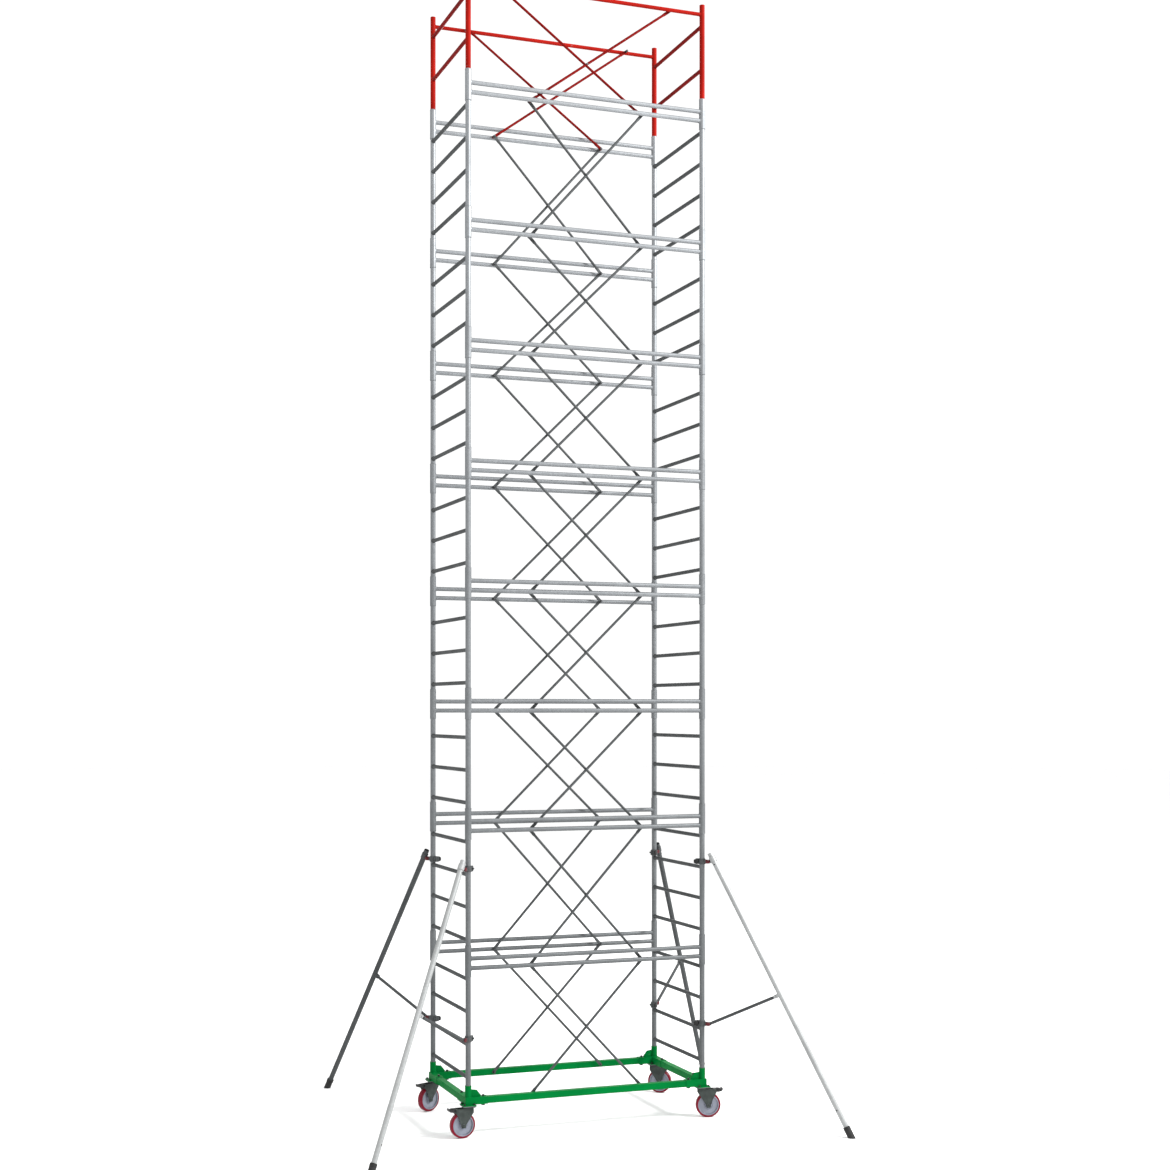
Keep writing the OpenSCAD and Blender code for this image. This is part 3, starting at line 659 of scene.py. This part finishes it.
def star_knob():
    """A five-lobed hand knob about Z with a domed face, standing on z = 0."""
    bm = spun([(0, 0), (0.010, 0), (0.0125, 0.003), (0.0125, 0.006), (0.019, 0.0065), (0.0208, 0.009),
               (0.0208, 0.017), (0.019, 0.0195), (0.012, 0.021), (0.006, 0.0205), (0, 0.0195)], 60)
    neck_r = 0.013
    lobes = 5
    depth = 0.14
    for vert in bm.verts:
        if vert.co.to_2d().length > neck_r:
            wave = 0.5 - 0.5 * math.cos(lobes * math.atan2(vert.co.y, vert.co.x))
            lobe = 1 - depth * wave**2
            vert.co.x *= lobe
            vert.co.y *= lobe
    return stored(bm, "star_knob")


def clamp_dress(name, corner, pivot_z, body, knob):
    """The knob on a clamp's pinch bolt, and the dark red caps and shoes beside its pivot."""
    place = stabiliser_frame(corner)
    pivot_r = reach(corner, "stabiliser_tilt_" + corner)
    bolt_end = -0.0145
    bm = bmesh.new()
    sideways = Matrix.Rotation(math.pi / 2, 4, "X")
    stamp(bm, knob, Matrix.Translation((-PINCH_R, bolt_end, pivot_z)) @ sideways)
    bmesh.ops.transform(bm, matrix=place, verts=bm.verts)
    piece(name + "_knob_" + corner, bm, body, "black_rubber")
    cap = stored(spun([(0, 0.0105), (0.008, 0.0102), (0.0125, 0.0085), (EYE_R - 0.0004, 0.005),
                       (EYE_R, 0.0002), (0, 0.0002)], 32), "pivot_cap")
    shoe = stored(block(0.020, 0.004, 0.0285, 0.0012), "shoe")
    bm = bmesh.new()
    for side in (-1, 1):
        face = Matrix.Rotation(-side * math.pi / 2, 4, "X")
        stamp(bm, cap, Matrix.Translation((pivot_r, side * EAR_OUT, pivot_z)) @ face)
        stamp(bm, shoe, Matrix.Translation((pivot_r - 0.014, side * (EAR_OUT + 0.0018), pivot_z)))
    bmesh.ops.transform(bm, matrix=place, verts=bm.verts)
    piece(name + "_caps_" + corner, bm, body, "red_paint", COUPLER_PLASTIC)


def tube_trim(corner):
    """Rims at the head of the long tube and at its collar, and the beads that hold its eye."""
    bm = bmesh.new()
    head = stored(ring(STAB_R - 0.0012, 0.0016, 6, 32), "head_rim")
    stamp(bm, head, Matrix.Translation((0, 0, -STAB_HEAD + 0.0014)))
    bead = stored(ring(STAB_R + 0.0015, 0.0026, 6, 32), "collar_bead")
    for end in (-1, 1):
        stamp(bm, bead, Matrix.Translation((0, 0, end * (RING_H / 2 + 0.001))))
    bmesh.ops.transform(bm, matrix=tube_frame(corner), verts=bm.verts)
    # The trim wears its tube's finish: painted light on the front tubes, painted shade on the rear ones
    finish = OWN_FINISH["stabiliser_tube_" + corner]
    piece("tube_trim_" + corner, bm, "stabiliser_" + corner, "galvanised_tube", finish)


def tube_buttons(corner):
    """The dark spring buttons on both sides of the long tube, near its two ends."""
    foot_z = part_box("stabiliser_foot_" + corner)[1].z
    pivot_z = joint_place("stabiliser_tilt_" + corner).z
    length = (pivot_z - foot_z) / math.cos(STAB_LEAN)
    button = stored(spun([(0, 0.0035), (0.003, 0.0032), (0.005, 0.0018), (0.0062, 0), (0.0062, -0.002),
                          (0, -0.002)], 20), "button")
    bm = bmesh.new()
    for down in (0.045, length - 0.10):
        for side in (-1, 1):
            face = Matrix.Rotation(-side * math.pi / 2, 4, "X")
            stamp(bm, button, Matrix.Translation((0, side * STAB_R, down)) @ face)
    bmesh.ops.transform(bm, matrix=tube_frame(corner), verts=bm.verts)
    piece("tube_buttons_" + corner, bm, "stabiliser_" + corner, "black_steel")


def foot_ribs(corner):
    """Moulded ribs round the rubber foot."""
    ribs = 3
    spacing = 0.010
    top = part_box("stabiliser_foot_" + corner)[1].z
    drop = joint_place("stabiliser_tilt_" + corner).z - top
    down = (drop + STAB_OFFSET * math.sin(STAB_LEAN)) / math.cos(STAB_LEAN) + 0.016
    rib = stored(ring(STAB_R + 0.0055, 0.0026, 6, 36), "rib_ring")
    bm = bmesh.new()
    for i in range(ribs):
        stamp(bm, rib, Matrix.Translation((0, 0, down + i * spacing)))
    bmesh.ops.transform(bm, matrix=tube_frame(corner), verts=bm.verts)
    piece("foot_ribs_" + corner, bm, "stabiliser_" + corner, "black_rubber")


# ---- Build ----

# The rung welds wear the darker zinc, which is painted shade
cross_tube_welds("rung_welds", ["ladder_rungs_left", "ladder_rungs_right"], RUNG_R, POST_R, "dark_galvanised")
cross_tube_welds("rail_welds", ["rails_front", "rails_rear"], RAIL_R, SLEEVE_R, "galvanised_tube")
cross_tube_welds("guard_welds", ["guard_rungs", "guard_top_rails"], RUNG_R, POST_R, "red_paint")
sleeve_rims()
guard_post_caps()
NECK = neck_mesh()
# The brace necks wear the darker zinc, which is painted shade
brace_necks("brace_necks_front", "cross_braces_front", "dark_galvanised", NECK)
brace_necks("brace_necks_rear", "cross_braces_rear", "dark_galvanised", NECK)
brace_necks("guard_brace_necks", "guard_braces", "red_paint", NECK, DARK_RED)
KNOB = star_knob()
for name in CORNERS:
    corner_welds(name)
    wheel_trim(name)
    swivel_seal(name)
    castor_trim(name)
    pedal_grip(name)
    clamp_dress("top_clamp", name, joint_place("stabiliser_tilt_" + name).z, "clamp_" + name, KNOB)
    clamp_dress("low_clamp", name, joint_place("strut_hinge_" + name).z, "low_clamp_" + name, KNOB)
    tube_trim(name)
    tube_buttons(name)
    foot_ribs(name)


# ---- Studio ----

def floor():
    """A wide pale floor, faintly mottled."""
    bm = bmesh.new()
    bmesh.ops.create_circle(bm, cap_ends=True, segments=96, radius=90)
    mesh = bpy.data.meshes.new("floor")
    bm.to_mesh(mesh)
    bm.free()
    ground = bpy.data.objects.new("floor", mesh)
    bpy.context.scene.collection.objects.link(ground)
    finish = Finish("pale_floor", Roughness=0.9)
    mottle = finish.noise(0.35, 3.0)
    finish.paint("Base Color", finish.blend(mottle, grey(0.915), grey(0.935)))
    mesh.materials.append(finish.material)


def soft_light(name, place, aim, width, watts):
    """A round soft light of the given width, turned to a point."""
    data = bpy.data.lights.new(name, "AREA")
    data.shape = "DISK"
    data.size = width
    data.energy = watts
    lamp = bpy.data.objects.new(name, data)
    lamp.location = place
    lamp.rotation_euler = (Vector(aim) - Vector(place)).to_track_quat("-Z", "Y").to_euler()
    bpy.context.scene.collection.objects.link(lamp)


def studio():
    """Plain white all round, a broad key light from the right front and a weak one from behind."""
    scene = bpy.context.scene
    scene.world = bpy.data.worlds.new("studio")
    scene.world.use_nodes = True
    sky = scene.world.node_tree.nodes["Background"]
    sky.inputs["Color"].default_value = grey(1.0)
    sky.inputs["Strength"].default_value = 1.08
    scene.view_settings.view_transform = "Standard"
    soft_light("key", place=(11, -9, 13), aim=(0, 0, 3.5), width=4, watts=4000)
    soft_light("rim", place=(6, 14, 10), aim=(0, 0, 5), width=6, watts=500)


def camera():
    """A level camera in front and to the left, its lens shifted up to take in the tower's height."""
    data = bpy.data.cameras.new("camera")
    data.lens = 54.2
    data.sensor_width = 36
    data.shift_x = 0.016
    data.shift_y = 0.107
    data.clip_end = 300
    view = bpy.data.objects.new("camera", data)
    view.location = (-4.920, -13.384, 3.264)
    view.rotation_euler = (math.radians(90), 0, -math.radians(20.18))
    bpy.context.scene.collection.objects.link(view)
    bpy.context.scene.camera = view


floor()
studio()
camera()
